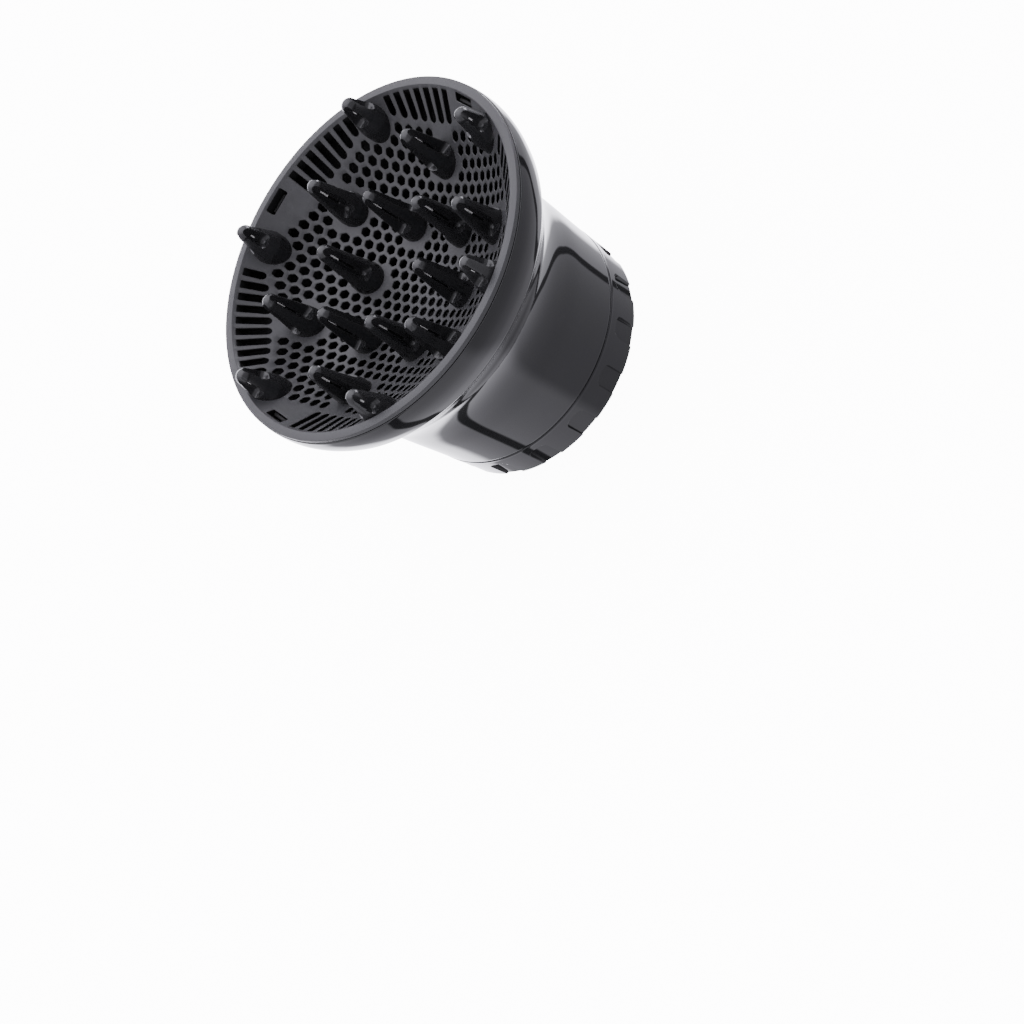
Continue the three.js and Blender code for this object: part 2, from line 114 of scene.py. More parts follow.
# Outer shell: outlines are (radius, height).
SHOULDER = ((56.4, 17.8), (56.8, 17.88), (57.08, 18.1))
HORN_OUTSIDE = (
    (57.2, 18.5),
    (57.5, 22),
    (58.2, 29.6),
    (59.3, 41),
    (60.4, 53),
    (62.2, 62),
    (65.3, 70),
    (69.6, 77.6),
    (74.2, 83.9),
    (77.9, 88.2),
    (79.0, 89.6),
    (79.9, 91.4),
    (81.5, 95.4),
    (82.6, 99.6),
    (82.95, 103),
    (82.8, 106.9),
)
RIM_TOP = ((82.7, 107.1), (82.5, 107.2), (80.8, 107.2), (80.6, 107.1))
HORN_INSIDE = (
    (80.5, 106.9),
    (80.5, 100.6),
    (76.6, 92.2),
    (71.8, 87.5),
    (66.2, 79),
    (61, 68),
    (57.8, 55.6),
    (56, 40),
    (54.9, 20.6),
)
NECK = {"inner": 49.6, "outer": 52.8, "foot": 13.8, "top": 20.3, "groove": 51.4, "low": 14.3, "high": 16.1}
BOSS = {"count": 6, "start": 30, "circle": 47.5, "radius": 3.5, "top": 28}
HOOK = {"count": 4, "inner": 75.6, "outer": 81.0, "width": 9, "tooth": 1.4}
HOOK_DEPTHS = {"low": 9.2, "top": 7.2, "point": 4.2}  # below the lip

# Grip ring.
COLLAR = {"mouth": 34.4, "rear": 56, "front": 57.2, "bore": 53.4, "groove": 54.6, "floor": 1.6}
REAR_ROUNDING = ((-2.4, 0), (-1.8, 0), (-1.2, 0), (-0.55, 0.03), (-0.25, 0.14), (-0.06, 0.36), (0, 0.65))
FRONT_ROUNDING = ((0, -0.7), (-0.1, -0.35), (-0.35, -0.1), (-0.7, 0))
RECESS = {"count": 16, "start": 8.2, "floor": 55.1, "width": 9.2, "length": 12.8, "corner": 3, "soft": 0.3}

# Jaws and pads.
JAW_REACH = 28  # radius of the pads' faces at rest
JAW = {"width": 15.8, "wall": 2.6, "length": 18.8, "foot": 10.7}
PAD = {"thickness": 2.2, "width": 15, "ribs": 5, "rib": 0.5}
PIN = {"radius": 2, "offset": 15.6}
GAP = 0.3
EDGE_SOFTENING = 0.15
STOP = {"inner": 21, "outer": 54.2}
SEAL = {"inner": 21.5, "outer": 36, "groove": 0.5, "rings": (26, 31.5)}

# ---- Outlines and solids -----------------------------------------------------------------------------


def smooth(x):
    """0 below 0, 1 above 1, and an even S between them."""
    x = np.clip(x, 0, 1)
    return x * x * (3 - 2 * x)


def circle(radius, count, centre=(0, 0), start=0):
    """Points evenly round a circle, anticlockwise from a starting angle in degrees."""
    turn = np.radians(start) + 2 * math.pi * np.arange(count) / count
    return np.column_stack([centre[0] + radius * np.cos(turn), centre[1] + radius * np.sin(turn)])


def turned_about(points, degrees):
    """Flat points turned anticlockwise about the origin."""
    turn = math.radians(degrees)
    c, s = math.cos(turn), math.sin(turn)
    return np.asarray(points, float) @ np.array([[c, s], [-s, c]])


def fillet(corners, radius, steps=4):
    """A closed outline with its corners rounded. A corner is (x, y), or (x, y, its own radius)."""
    rounded = []
    for i, corner in enumerate(corners):
        own = corner[2] if len(corner) > 2 else radius
        point = np.array(corner[:2], float)
        back = np.array(corners[i - 1][:2], float) - point
        ahead = np.array(corners[(i + 1) % len(corners)][:2], float) - point
        room = 0.49 * min(np.linalg.norm(back), np.linalg.norm(ahead))
        back, ahead = back / np.linalg.norm(back), ahead / np.linalg.norm(ahead)
        half = math.acos(max(-1, min(1, back @ ahead))) / 2
        if own <= 0 or half > math.radians(88):
            rounded.append(point)
            continue
        reach = min(own / math.tan(half), room)
        middle = back + ahead
        centre = point + middle / np.linalg.norm(middle) * reach / math.cos(half)
        first, last = point + back * reach - centre, point + ahead * reach - centre
        turn = math.atan2(first[0] * last[1] - first[1] * last[0], first @ last)
        arc = [turned_about(first, math.degrees(turn * k / steps)) for k in range(steps + 1)]
        rounded.extend(centre + step for step in arc)
    return np.array(rounded)


def flowing(points, steps=8):
    """A smooth curve through points, as a Catmull-Rom spline."""
    p = np.array(points, float)
    p = np.vstack([2 * p[0] - p[1], p, 2 * p[-1] - p[-2]])
    curve = []
    for a, b, c, d in zip(p, p[1:], p[2:], p[3:]):
        for t in np.arange(steps) / steps:
            square = 2 * a - 5 * b + 4 * c - d
            cube = 3 * b - a - 3 * c + d
            curve.append(0.5 * (2 * b + (c - a) * t + square * t**2 + cube * t**3))
    return np.array(curve + [p[-2]])


def inset(outline, distance):
    """An outline drawn in by a distance; it runs anticlockwise."""
    ahead = np.roll(outline, -1, 0) - outline
    ahead /= np.linalg.norm(ahead, axis=1)[:, None] + 1e-12
    tangent = ahead + np.roll(ahead, 1, 0)
    tangent /= np.linalg.norm(tangent, axis=1)[:, None] + 1e-12
    return outline + distance * np.column_stack([-tangent[:, 1], tangent[:, 0]])


def ring_faces(rows, columns, closed):
    """Quads of a grid of rows by columns whose columns run round, and its rows too where it is closed."""
    quads = []
    for i in range(rows if closed else rows - 1):
        a, b = i * columns, (i + 1) % rows * columns
        for j in range(columns):
            k = (j + 1) % columns
            quads.append((a + j, a + k, b + k, b + j))
    return quads


def lathe(profile, segments=ROUND, closed=True):
    """Points and faces of a profile of (radius, height) turned about the axis."""
    profile = np.asarray(profile, float)
    turn = 2 * math.pi * np.arange(segments) / segments
    points = np.empty((len(profile), segments, 3))
    points[..., 0] = np.outer(profile[:, 0], np.cos(turn))
    points[..., 1] = np.outer(profile[:, 0], np.sin(turn))
    points[..., 2] = profile[:, 1:2]
    return points.reshape(-1, 3), ring_faces(len(profile), segments, closed)


def prism(outline, low, high, edge=0.3):
    """An upright solid on an anticlockwise outline, its upper and lower edges rounded."""
    outline = np.asarray(outline, float)
    levels = [(edge, low), (0.29 * edge, low + 0.29 * edge), (0, low + edge)]
    levels += [(0, high - edge), (0.29 * edge, high - 0.29 * edge), (edge, high)]
    points = np.vstack([np.column_stack([inset(outline, d), np.full(len(outline), z)]) for d, z in levels])
    count = len(outline)
    faces = ring_faces(len(levels), count, False)
    faces.append(tuple(range(count - 1, -1, -1)))
    faces.append(tuple(range((len(levels) - 1) * count, len(levels) * count)))
    return points, faces


def joined(*parts):
    """Several (points, faces) as one."""
    points, faces, start = [], [], 0
    for part_points, part_faces in parts:
        points.append(part_points)
        faces.extend(tuple(start + i for i in face) for face in part_faces)
        start += len(part_points)
    return np.vstack(points), faces


def shaped_mesh(name, part, sharp=34):
    """A welded mesh of (points, faces), smooth but for edges sharper than an angle in degrees."""
    mesh = bpy.data.meshes.new(name)
    points, faces = part
    mesh.from_pydata((np.asarray(points) * MM).tolist(), [], faces)
    bm = bmesh.new()
    bm.from_mesh(mesh)
    bmesh.ops.remove_doubles(bm, verts=bm.verts, dist=WELD)
    bmesh.ops.recalc_face_normals(bm, faces=bm.faces)
    bm.to_mesh(mesh)
    bm.free()
    mesh.shade_smooth()
    mesh.set_sharp_from_angle(angle=math.radians(sharp))
    return mesh


def paint(mesh, finishes, choose):
    """Give a mesh several finishes: choose takes a face's centre and normal and gives its finish's place."""
    for finish in finishes:
        mesh.materials.append(FINISHES[finish])
    for polygon in mesh.polygons:
        polygon.material_index = choose(polygon.center / MM, polygon.normal)


def piece(name, mesh, finish, body, nodes=(), degrees=0):
    """A visible piece that rides on a CAD body and stands for CAD nodes."""
    obj = bpy.data.objects.new(name, mesh)
    bpy.context.scene.collection.objects.link(obj)
    obj.matrix_world = Matrix.Rotation(math.radians(degrees), 4, "Z")
    if not mesh.materials:
        mesh.materials.append(FINISHES[finish])
    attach(obj, body)
    if nodes:
        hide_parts(*nodes)
    return obj


# ---- Materials ---------------------------------------------------------------------------------------


def node_kit(material):
    """The material's node tree, its shader and a maker of nodes with their values and links."""
    tree = material.node_tree
    shader = next(n for n in tree.nodes if n.type == "BSDF_PRINCIPLED")

    def add(kind, values=None, **settings):
        node = tree.nodes.new(kind)
        for key, value in settings.items():
            setattr(node, key, value)
        for key, value in (values or {}).items():
            if isinstance(value, bpy.types.NodeSocket):
                tree.links.new(value, node.inputs[key])
            else:
                node.inputs[key].default_value = value
        return node

    return tree, shader, add


def new_finish(name):
    """A material with its node tree, shader and node maker, and coordinates that move with the object."""
    material = bpy.data.materials.new(name)
    material.use_nodes = True
    tree, shader, add = node_kit(material)
    return material, tree, shader, add, add("ShaderNodeTexCoord").outputs["Object"]


def blended(tree, add, factor, low, high):
    """A colour between two, each of them a colour or a socket."""
    mix = add("ShaderNodeMix", {"Factor": factor}, data_type="RGBA")
    for socket, value in ((mix.inputs[6], low), (mix.inputs[7], high)):
        if isinstance(value, bpy.types.NodeSocket):
            tree.links.new(value, socket)
        else:
            socket.default_value = (*value, 1)
    return mix.outputs[2]


def relief(add, place, waves, grain, grain_scale):
    """The surface's normal: slow waves in a polished face, under a fine grain. None where it has neither."""
    normal = None
    if waves:
        swell = add("ShaderNodeTexNoise", {"Vector": place, "Scale": 28, "Detail": 1})
        values = {"Height": swell.outputs["Fac"], "Strength": waves, "Distance": 0.0004}
        normal = add("ShaderNodeBump", values).outputs["Normal"]
    if grain:
        speck = add("ShaderNodeTexNoise", {"Vector": place, "Scale": grain_scale, "Detail": 2})
        values = {"Height": speck.outputs["Fac"], "Strength": grain, "Distance": 0.00006}
        if normal:
            values["Normal"] = normal
        normal = add("ShaderNodeBump", values).outputs["Normal"]
    return normal


def plastic(
    name,
    colour,
    roughness,
    grain=0.0,
    grain_scale=2500,
    waves=0.0,
    spread=0.25,
    wear=0.02,
    specular=0.5,
    mottling=0.2,
):
    """Moulded plastic or rubber: speckled colour, uneven gloss, a fine grain and lighter rubbed places."""
    material, tree, shader, add, place = new_finish(name)
    mottle = add("ShaderNodeTexNoise", {"Vector": place, "Scale": 45, "Detail": 6, "Roughness": 0.65})
    scuff = add("ShaderNodeTexNoise", {"Vector": place, "Scale": 180, "Detail": 8, "Roughness": 0.75})
    rubbed = add("ShaderNodeMapRange", {"Value": scuff.outputs["Fac"], "From Min": 0.56, "From Max": 0.78})
    dark = [c * (1 - mottling) for c in colour]
    light = [c * (1 + mottling) for c in colour]
    worn = [c + wear for c in colour]
    shade = blended(tree, add, mottle.outputs["Fac"], dark, light)
    shade = blended(tree, add, rubbed.outputs["Result"], shade, worn)
    tree.links.new(shade, shader.inputs["Base Color"])
    limits = {"From Min": 0.25, "From Max": 0.75}
    limits.update({"To Min": roughness * (1 - spread), "To Max": roughness * (1 + spread)})
    gloss = add("ShaderNodeMapRange", {"Value": mottle.outputs["Fac"], **limits})
    tree.links.new(gloss.outputs["Result"], shader.inputs["Roughness"])
    shader.inputs["Specular IOR Level"].default_value = specular
    normal = relief(add, place, waves, grain, grain_scale)
    if normal:
        tree.links.new(normal, shader.inputs["Normal"])
    return material


def metal(name, colour, roughness, streaks):
    """Bright steel with fine streaks round the axis and duller patches."""
    material, tree, shader, add, place = new_finish(name)
    stretched = add("ShaderNodeMapping", {"Vector": place, "Scale": (1, 1, streaks)})
    brushed = add("ShaderNodeTexNoise", {"Vector": stretched.outputs["Vector"], "Scale": 900, "Detail": 4})
    patch = add("ShaderNodeTexNoise", {"Vector": place, "Scale": 220, "Detail": 5})
    shade = blended(tree, add, patch.outputs["Fac"], [c * 0.8 for c in colour], colour)
    tree.links.new(shade, shader.inputs["Base Color"])
    limits = {"To Min": roughness * 0.6, "To Max": roughness * 1.5}
    gloss = add("ShaderNodeMapRange", {"Value": brushed.outputs["Fac"], **limits})
    tree.links.new(gloss.outputs["Result"], shader.inputs["Roughness"])
    shader.inputs["Metallic"].default_value = 1
    bump = add("ShaderNodeBump", {"Height": brushed.outputs["Fac"], "Strength": 0.2, "Distance": 0.00005})
    tree.links.new(bump.outputs["Normal"], shader.inputs["Normal"])
    return material


FINISHES = {
    "gloss_black": plastic("gloss_black", (0.008, 0.008, 0.009), 0.05, waves=0.02, wear=0.004),
    "satin_grey": plastic("satin_grey", (0.05, 0.05, 0.052), 0.4, grain=0.35, wear=0.012, specular=0.36),
    "finger_black": plastic(
        "finger_black", (0.017, 0.017, 0.018), 0.26, grain=0.03, spread=0.05, wear=0.001, mottling=0.04
    ),
    # painted shade: a near-black finish put on faces that should look dark from shade (hole walls, the
    # plate's underside, the horn's inside, the latch hooks and the fingers' slits)
    "painted_shade_black": plastic("painted_shade_black", (0.004, 0.004, 0.004), 0.6, grain=0.2, wear=0.002, specular=0.2),
    # painted highlight: a pale grey put in the upper part of the fingers' slits to stand for bright lines of
    # reflected light there
    "painted_highlight_grey": plastic("painted_highlight_grey", (0.7, 0.7, 0.68), 0.3, grain=0.1),
    "nylon_black": plastic("nylon_black", (0.02, 0.02, 0.021), 0.5, grain=0.3, wear=0.012),
    "rubber_black": plastic("rubber_black", (0.017, 0.017, 0.018), 0.75, grain=0.5, grain_scale=1800),
    "zinc_steel": metal("zinc_steel", (0.62, 0.63, 0.65), 0.3, 8),
    "spring_steel": metal("spring_steel", (0.4, 0.41, 0.43), 0.28, 20),
}

# ---- Bowl plate --------------------------------------------------------------------------------------


def on_sphere(sphere, radius):
    """Height of a sphere about the dish's centre, at a radius from the axis."""
    return BODY_LENGTH - DISH_DEPTH + DISH_RADIUS - np.sqrt(sphere**2 - radius**2)


def dish_top(radius):
    """Height of the plate's upper face: part of a sphere, then the flat lip."""
    dish = on_sphere(DISH_RADIUS, np.minimum(radius, DISH_EDGE))
    return np.where(radius < DISH_EDGE, dish, BODY_LENGTH)


def dish_bottom(radius):
    """Height of the plate's lower face: a sphere about the same centre, never above the skirt's end."""
    dish = on_sphere(DISH_RADIUS + PLATE_THICKNESS, np.minimum(radius, SLOT["outer"]))
    return np.minimum(dish, BODY_LENGTH - SKIRT["depth"])


def finger_tips(ring):
    """The tips of a ring's fingers, each on its own finger's axis."""
    return [highest_point(f"finger_{ring}_{k}") for k in range(1, PER_RING + 1)]


TIPS = {ring: finger_tips(ring) for ring in FINGER_RINGS}


def hexagon_centres():
    """The field of holes: a triangular lattice cut to a hexagon, clear of the fingers' feet."""
    a, b = (HEX["pitch"] * circle(1, 1, start=HEX["start"] + turn)[0] for turn in (0, 60))
    feet = np.array([tip[:2] for ring in TIPS.values() for tip in ring])
    centres = []
    reach = HEX["reach"]
    for i in range(-reach, reach + 1):
        for j in range(-reach, reach + 1):
            centre = i * a + j * b
            clear = np.linalg.norm(feet - centre, axis=1).min() > HEX["clear"]
            if abs(i + j) <= reach and clear:
                centres.append(centre)
    return centres


def hexagon_outline(across):
    """A hexagon of a width across its flats, its corners slightly rounded."""
    corners = circle(across / math.sqrt(3), 6, start=HEX["start"] - 30)
    return fillet([tuple(c) for c in corners], HEX["rounding"], 2)


def slot_outline(degrees, grow):
    """A radial slot, round at its inner end, which lies on a hexagon; grow widens it for the upper edge."""
    half = SLOT["width"] / 2 + grow
    from_side = (degrees - 15 + 30) % 60 - 30
    inner = SLOT["hexagon"] / math.cos(math.radians(from_side)) - grow
    outer = SLOT["outer"] + grow
    corners = [(outer, -half, 0.3), (outer, half, 0.3), (inner, half, half), (inner, -half, half)]
    return turned_about(fillet(corners, half, 5), degrees)


def window_outline(degrees, grow):
    """A rectangular latch window; grow widens it for the upper edge."""
    half = WINDOW["width"] / 2 + grow
    inner, outer = WINDOW["inner"] - grow, WINDOW["outer"] + grow
    corners = [(inner, -half), (outer, -half), (outer, half), (inner, half)]
    return turned_about(fillet(corners, 0.5, 3), degrees)


def plate_holes():
    """Pairs of outlines, at the upper face and a little below it."""
    holes = []
    mouth, throat = hexagon_outline(HEX["mouth"]), hexagon_outline(HEX["across"])
    for centre in hexagon_centres():
        holes.append((mouth + centre, throat + centre))
    for middle, count in SLOT_GROUPS:
        for k in range(count):
            degrees = middle + (k - (count - 1) / 2) * SLOT["pitch"]
            holes.append((slot_outline(degrees, SLOT["edge"]), slot_outline(degrees, 0)))
    for k in range(HOOK["count"]):
        degrees = k * 360 / HOOK["count"]
        holes.append((window_outline(degrees, SLOT["edge"]), window_outline(degrees, 0)))
    for ring in TIPS.values():
        for tip in ring:
            seat = circle(SEAT_RADIUS, 24, tip[:2])
            holes.append((seat, seat))
    return holes


def inside(outline, points):
    """Which points lie inside a convex anticlockwise outline."""
    ahead = np.roll(outline, -1, 0) - outline
    offset = points[:, None, :] - outline[None, :, :]
    side = ahead[None, :, 0] * offset[..., 1] - ahead[None, :, 1] * offset[..., 0]
    return (side >= 0).all(axis=1)


def support_points(outlines, edge, spacing=2.6, clear=0.9):
    """Points spread over the plain parts of a face, so that it stays smoothly curved there."""
    rings = []
    for radius in np.arange(spacing, edge - 0.6, spacing):
        rings.append(circle(radius, max(6, int(2 * math.pi * radius / spacing)), start=radius * 7))
    points = np.vstack(rings)
    for outline in outlines:
        middle = outline.mean(0)
        reach = np.linalg.norm(outline - middle, axis=1).max() + clear
        near = np.linalg.norm(points - middle, axis=1) < reach
        grown = inset(outline, -clear)
        near[near] = inside(grown, points[near])
        points = points[~near]
    return points


def perforated_face(outlines, rings, height):
    """A face with a hole for each outline and an edge for each ring, its points lifted to their heights."""
    corners, edges, hole_of = [], [], []
    for k, outline in enumerate([*outlines, *rings]):
        start = len(corners)
        corners.extend(outline)
        edges.extend((start + i, start + (i + 1) % len(outline)) for i in range(len(outline)))
        hole_of.extend([k if k < len(outlines) else -1] * len(outline))
    free = support_points(outlines, np.linalg.norm(rings[0], axis=1).max())
    corners.extend(free)
    hole_of.extend([-1] * len(free))
    flat, _, faces, origin, _, _ = delaunay_2d_cdt([Vector(c) for c in corners], edges, [], 0, CLOSE)
    flat = np.array([tuple(v) for v in flat])
    owner = [hole_of[o[0]] if o else -1 for o in origin]
    solid = [f for f in faces if owner[f[0]] < 0 or not owner[f[0]] == owner[f[1]] == owner[f[2]]]
    radius = np.linalg.norm(flat, axis=1)
    return np.column_stack([flat, height(radius)]), solid


def hole_walls(mouth, throat):
    """The wall of one hole: a narrow slope at the upper face, then straight down to the lower one."""
    far, near = np.linalg.norm(mouth, axis=1), np.linalg.norm(throat, axis=1)
    levels = [
        np.column_stack([mouth, dish_top(far)]),
        np.column_stack([throat, dish_top(near) - EDGE_DEPTH]),
        np.column_stack([throat, dish_bottom(near)]),
    ]
    return np.vstack(levels), ring_faces(len(levels), len(mouth), False)


def lip_edge():
    """Outline of the lip's rounded edge, its underside and the skirt that fits in the shell."""
    lip, r = BODY_LENGTH, LIP_ROUNDING
    edge = [(LIP_OUTER - r, lip), (LIP_OUTER - 0.29 * r, lip - 0.29 * r), (LIP_OUTER, lip - r)]
    under = lip - LIP_THICKNESS
    edge += [(LIP_OUTER, under), (SKIRT["outer"], under)]
    edge += [(SKIRT["outer"], lip - SKIRT["depth"]), (SKIRT["inner"], lip - SKIRT["depth"])]
    return edge


def bowl_plate():
    """The perforated dish with its lip, its skirt and the walls of all its holes."""
    holes = plate_holes()
    crease, border = circle(DISH_EDGE, ROUND), circle(LIP_OUTER - LIP_ROUNDING, ROUND)
    skirt = circle(SKIRT["inner"], ROUND)
    top = perforated_face([mouth for mouth, _ in holes], [crease, border], dish_top)
    bottom = perforated_face([throat for _, throat in holes], [skirt], dish_bottom)
    walls = [hole_walls(*hole) for hole in holes]
    rim = lathe(lip_edge(), ROUND, False)
    mesh = shaped_mesh("bowl_plate_visual", joined(top, bottom, rim, *walls), 28)

    # The hole walls and the plate's underside get a near-black finish: painted shade.
    def painted_shade_faces(centre, normal):
        return int(centre.xy.length < SKIRT["outer"] + GAP and normal.z < 0.3)

    paint(mesh, ("satin_grey", "painted_shade_black"), painted_shade_faces)
    piece("bowl_plate_visual", mesh, "satin_grey", "shell", ["bowl_plate"])


# ---- Fingers -----------------------------------------------------------------------------------------


def flute_width(z, end):
    """Half a flute's width at a height: full above its round lower end, none below it."""
    return np.sqrt(np.clip(FLUTE["radius"] ** 2 - np.clip(end - z, 0, None) ** 2, 0, None))


def flute_edge(radius, width):
    """Half the angle that a flute takes of a finger's surface."""
    reach = FLUTE["centre"]
    rounded = np.arccos(np.clip((radius**2 + reach**2 - width**2) / (2 * radius * reach), -1, 1))
    straight = np.arcsin(np.clip(width / radius, 0, 1))
    return np.maximum(np.where(np.hypot(reach, width) < radius, straight, rounded), FLUTE_LEAST)


def flute_angles(edge, radius):
    """Angles round a finger: columns that keep to the slit, then follow the flute's edge up the finger."""
    slit = np.radians(SLIT_COLUMNS) * np.minimum(1, edge / FLUTE_ROOM)
    flank = slit[:, -1:] + (edge - slit[:, -1:]) * np.array(FLANK_SHARES)
    lip = edge + np.array(LIP_COLUMNS) / radius
    rest = lip[:, -1:] + (math.pi / FLUTE_COUNT - lip[:, -1:]) * np.array(REST_SHARES)
    half = np.hstack([slit, flank, lip, rest])
    side = np.hstack([-half[:, -2:0:-1], half])
    middles = (np.arange(FLUTE_COUNT) + 0.5) * 2 * math.pi / FLUTE_COUNT
    return np.tile(side, FLUTE_COUNT), np.hstack([side + middle for middle in middles])


def finger_levels(foot, end, dome, tip):
    """Heights up a finger: closer together at the flutes' round ends and over the dome."""
    buried = [foot - 9, foot - 4, foot, foot + FINGER["upright"]]
    ball = end - FLUTE["radius"] * np.cos(np.linspace(0, math.pi / 2, FINGER_ROWS["ball"]))
    below = np.linspace(foot + 1.4, ball[0] - 0.3, FINGER_ROWS["below"])
    above = np.linspace(end + 0.3, dome, FINGER_ROWS["above"])
    over = dome + (tip - dome) * np.sin(np.linspace(0.1, math.pi / 2, FINGER_ROWS["dome"]))
    return np.concatenate([buried, below, ball, above, over])[:, None]


def finger_radius(z, shoulder, dome):
    """Radius of the plain finger: an upright foot, a taper and a domed tip."""
    wide, small = FINGER["foot"], FINGER["tip"]
    taper = np.clip(wide - (z - shoulder) * (wide - small) / (dome - shoulder), small, wide)
    over = np.clip((z - dome) / small, 0, 1)
    return np.where(z > dome, small * np.sqrt(1 - over**2), taper)


def slit_share(beside, z, end, tip):
    """1 in the middle of a flute's slit, 0 outside it, with short slopes between."""
    across = (np.degrees(np.abs(beside)) - SLIT["inner"]) / (SLIT["outer"] - SLIT["inner"])
    below_top = smooth((tip - SLIT["top"] - z) / SLIT["slope"])
    above_bottom = smooth((z - end - SLIT["bottom"]) / SLIT["slope"])
    return (1 - smooth(across)) * below_top * above_bottom


def finger_part(ring, distance, tip):
    """An upright finger on an axis at a distance along X, with ball-ended flutes and a slit in each."""
    foot = float(dish_top(np.array(distance)))
    dome = tip - FINGER["tip"]
    end = foot + FLUTE_LEDGE[ring] + FLUTE["radius"]
    z = finger_levels(foot, end, dome, tip)
    radius = finger_radius(z, foot + FINGER["upright"], dome)
    width = flute_width(z, end)
    beside, turn = flute_angles(flute_edge(np.maximum(radius, 1), width), np.maximum(radius, 1))
    aside = FLUTE["centre"] * np.abs(np.sin(beside))
    flute = FLUTE["centre"] * np.cos(beside) - np.sqrt(np.clip(width**2 - aside**2, 0, None))
    cut = np.minimum(flute - SLIT["depth"] * slit_share(beside, z, end, tip), radius)
    surface = np.where(aside < width, cut, radius)
    around = np.hypot(distance + radius * np.cos(turn), radius * np.sin(turn))
    z = np.maximum(z, dish_top(around) - FINGER["buried"])
    points = np.stack([distance + surface * np.cos(turn), surface * np.sin(turn), z], -1)
    rows, count = z.shape
    faces = ring_faces(rows, count, False) + [tuple(range(count - 1, -1, -1))]
    stem = prism(circle(FINGER["stem"], 24, (distance, 0)), foot - FINGER["stem_depth"], foot + 1)
    return joined((points.reshape(-1, 3), faces), stem)


def paint_slit_shade_and_highlight(mesh, distance, end, tip):
    """The slits get painted shade, near black inside, and a pale grey painted highlight in their upper part.
    """
    slit_floor = FLUTE["centre"] - FLUTE["radius"] - 0.6 * SLIT["depth"]
    slit_top = tip - SLIT["top"]

    # Chooses each slit face's paint: 1 for near-black painted shade, 2 for the pale painted highlight.
    def slit_paint_choice(centre, _):
        x, y, z = centre
        if math.hypot(x - distance, y) >= slit_floor or not end < z < slit_top:
            return 0
        return 2 if z > slit_top - SLIT["highlight_reach"] else 1

    paint(mesh, ("finger_black", "painted_shade_black", "painted_highlight_grey"), slit_paint_choice)


def fingers():
    """18 fingers: one mesh for each ring, turned to each finger's place."""
    for ring in FINGER_RINGS:
        x, y, tip = TIPS[ring][0]
        distance = math.hypot(x, y)
        mesh = shaped_mesh(f"finger_{ring}_mesh", finger_part(ring, distance, tip), 50)
        paint_slit_shade_and_highlight(mesh, distance, tip - DISH_DEPTH, tip)
        for k, own_tip in enumerate(TIPS[ring], 1):
            node = f"finger_{ring}_{k}"
            degrees = math.degrees(math.atan2(own_tip[1], own_tip[0]))
            piece(f"{node}_visual", mesh, "finger_black", "shell", [node], degrees)


# ---- Outer shell -------------------------------------------------------------------------------------


def neck_outline():
    """The neck that the grip ring turns on, with the snap ring's groove."""
    corners = [
        (NECK["inner"], NECK["top"]),
        (NECK["inner"], NECK["foot"]),
        (NECK["outer"], NECK["foot"]),
        (NECK["outer"], NECK["low"]),
        (NECK["groove"], NECK["low"]),
        (NECK["groove"], NECK["high"]),
        (NECK["outer"], NECK["high"]),
    ]
    return fillet(corners, 0.15, 2)


def outer_shell():
    """The horn: glossy outside, near-black painted shade inside, with a shoulder that the grip ring comes up
    to.
    """
    neck_root = (NECK["outer"], SHOULDER[0][1])
    outside, within = flowing(HORN_OUTSIDE), flowing(HORN_INSIDE)
    profile = np.vstack([neck_outline(), neck_root, SHOULDER, outside, RIM_TOP, within])
    mesh = shaped_mesh("outer_shell_visual", lathe(profile))

    # Faces inside the horn above the neck, which get near-black painted shade.
    def painted_shade_faces(centre, normal):
        return int(centre.xy.dot(normal.xy) < 0 and centre.z > NECK["top"])

    paint(mesh, ("gloss_black", "painted_shade_black"), painted_shade_faces)
    piece("outer_shell_visual", mesh, "gloss_black", "shell", ["outer_shell"])


def shell_bosses():
    """Six screw bosses that run up from the neck."""
    boss = prism(circle(BOSS["radius"], 28, (BOSS["circle"], 0)), NECK["foot"] + 0.05, BOSS["top"], 0.4)
    mesh = shaped_mesh("shell_boss_mesh", boss)
    for k in range(BOSS["count"]):
        piece(f"shell_boss_{k + 1}", mesh, "gloss_black", "shell", degrees=BOSS["start"] + 60 * k)


def shell_hooks():
    """Four latch hooks that show in the plate's windows, in a near-black finish that is painted shade."""
    half = HOOK["width"] / 2
    corners = [
        (HOOK["outer"], BODY_LENGTH - HOOK_DEPTHS["low"]),
        (HOOK["outer"], BODY_LENGTH - HOOK_DEPTHS["top"]),
        (HOOK["inner"] + HOOK["tooth"], BODY_LENGTH - HOOK_DEPTHS["top"]),
        (HOOK["inner"] + HOOK["tooth"], BODY_LENGTH - HOOK_DEPTHS["point"]),
        (HOOK["inner"], BODY_LENGTH - HOOK_DEPTHS["point"]),
        (HOOK["inner"], BODY_LENGTH - HOOK_DEPTHS["low"]),
    ]
    points, faces = prism(fillet(corners, 0.25, 3), -half, half, 0.25)
    points = np.column_stack([points[:, 0], -points[:, 2], points[:, 1]])
    mesh = shaped_mesh("shell_hook_mesh", (points, faces))
    # painted shade: the hooks are made near black so the windows look dark
    mesh.materials.append(FINISHES["painted_shade_black"])
    for k in range(HOOK["count"]):
        piece(f"shell_hook_{k + 1}", mesh, "gloss_black", "shell", degrees=k * 360 / HOOK["count"])


# ---- Grip ring ---------------------------------------------------------------------------------------


def recess_depth(aside, height):
    """0 on a grip pad, 1 on a recess floor: a rounded rectangle that is open at the rear."""
    corner = RECESS["corner"]
    right = np.abs(aside) - (RECESS["width"] / 2 - corner)
    up = height - (RECESS["length"] - corner)
    past_corner = np.hypot(np.maximum(right, 0), np.maximum(up, 0))
    outside = past_corner + np.minimum(np.maximum(right, up), 0) - corner
    return 1 - smooth(outside / RECESS["soft"] + 0.5)


